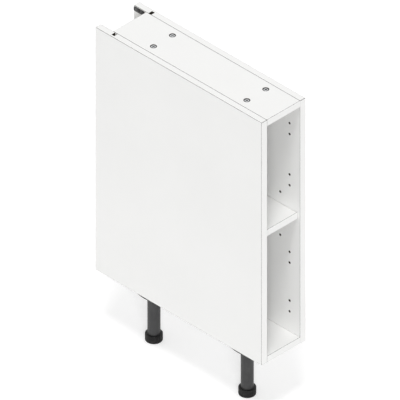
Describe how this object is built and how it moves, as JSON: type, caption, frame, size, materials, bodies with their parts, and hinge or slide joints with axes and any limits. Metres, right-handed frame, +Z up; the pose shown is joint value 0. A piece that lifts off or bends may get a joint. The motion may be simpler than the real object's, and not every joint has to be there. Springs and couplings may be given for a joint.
{
  "type": "narrow base cabinet",
  "caption": "Narrow open-fronted kitchen base cabinet in white board, with a loose shelf, a service void behind the back panel and adjustable plastic legs.",
  "frame": {"origin": "on the floor, in the middle of the cabinet's outline", "axes": "+Z up; +Y from the open front to the rear; X across the width, +X to the right seen from the front"},
  "size_m": [0.15, 0.57, 0.902],
  "materials": {
    "melamine_board": "white melamine-faced chipboard, satin with a very fine texture",
    "edging": "white plastic edging, satin",
    "zinc": "die-cast zinc, dull",
    "zinc_plated_steel": "bright zinc-plated steel",
    "beech": "bare beech",
    "black_steel": "black powder coat",
    "black_plastic": "dark grey moulded plastic, fine satin texture"
  },
  "bodies": {
    "root": {"left_side_panel": "melamine_board", "right_side_panel": "melamine_board", "top_panel": "melamine_board", "bottom_panel": "melamine_board", "back_panel": "melamine_board", "left_side_edging": "edging", "right_side_edging": "edging", "top_edging": "edging", "bottom_edging": "edging", "cam_locks_top": "zinc", "cam_locks_bottom": "zinc", "cam_bolts_top": "zinc_plated_steel", "cam_bolts_bottom": "zinc_plated_steel", "wood_dowels_top": "beech", "wood_dowels_bottom": "beech", "shelf_support_front_left": "zinc_plated_steel", "shelf_support_front_right": "zinc_plated_steel", "shelf_support_rear_left": "zinc_plated_steel", "shelf_support_rear_right": "zinc_plated_steel", "wall_plate_left": "black_steel", "wall_plate_right": "black_steel", "wall_plate_screws": "black_steel", "leg_bracket_front": "black_plastic", "leg_bracket_rear": "black_plastic", "leg_screws_front": "zinc_plated_steel", "leg_screws_rear": "zinc_plated_steel", "leg_tube_front": "black_plastic", "leg_tube_rear": "black_plastic"},
    "shelf": {"shelf_board": "melamine_board", "shelf_edging": "edging"},
    "front_foot": {"foot_pad_front": "black_plastic"},
    "front_adjuster": {"foot_adjuster_front": "black_plastic"},
    "rear_foot": {"foot_pad_rear": "black_plastic"},
    "rear_adjuster": {"foot_adjuster_rear": "black_plastic"}
  },
  "joints": [
    {"name": "shelf_slide", "type": "slide", "parent": "root", "child": "shelf", "axis": [0, -1, 0], "range_m": [0, 0.5]},
    {"name": "front_foot_height", "type": "slide", "parent": "root", "child": "front_foot", "axis": [0, 0, -1], "range_m": [-0.005, 0.025]},
    {"name": "front_adjuster_turn", "type": "hinge", "parent": "front_foot", "child": "front_adjuster", "pos_m": [0, -0.16, 0], "axis": [0, 0, -1], "range_deg": [-360, 1800]},
    {"name": "rear_foot_height", "type": "slide", "parent": "root", "child": "rear_foot", "axis": [0, 0, -1], "range_m": [-0.005, 0.025]},
    {"name": "rear_adjuster_turn", "type": "hinge", "parent": "rear_foot", "child": "rear_adjuster", "pos_m": [0, 0.16, 0], "axis": [0, 0, -1], "range_deg": [-360, 1800]}
  ],
  "couplings": [
    {"joint": "front_foot_height", "follows": "front_adjuster_turn", "m_per_rad": 0.00079577},
    {"joint": "rear_foot_height", "follows": "rear_adjuster_turn", "m_per_rad": 0.00079577}
  ]
}
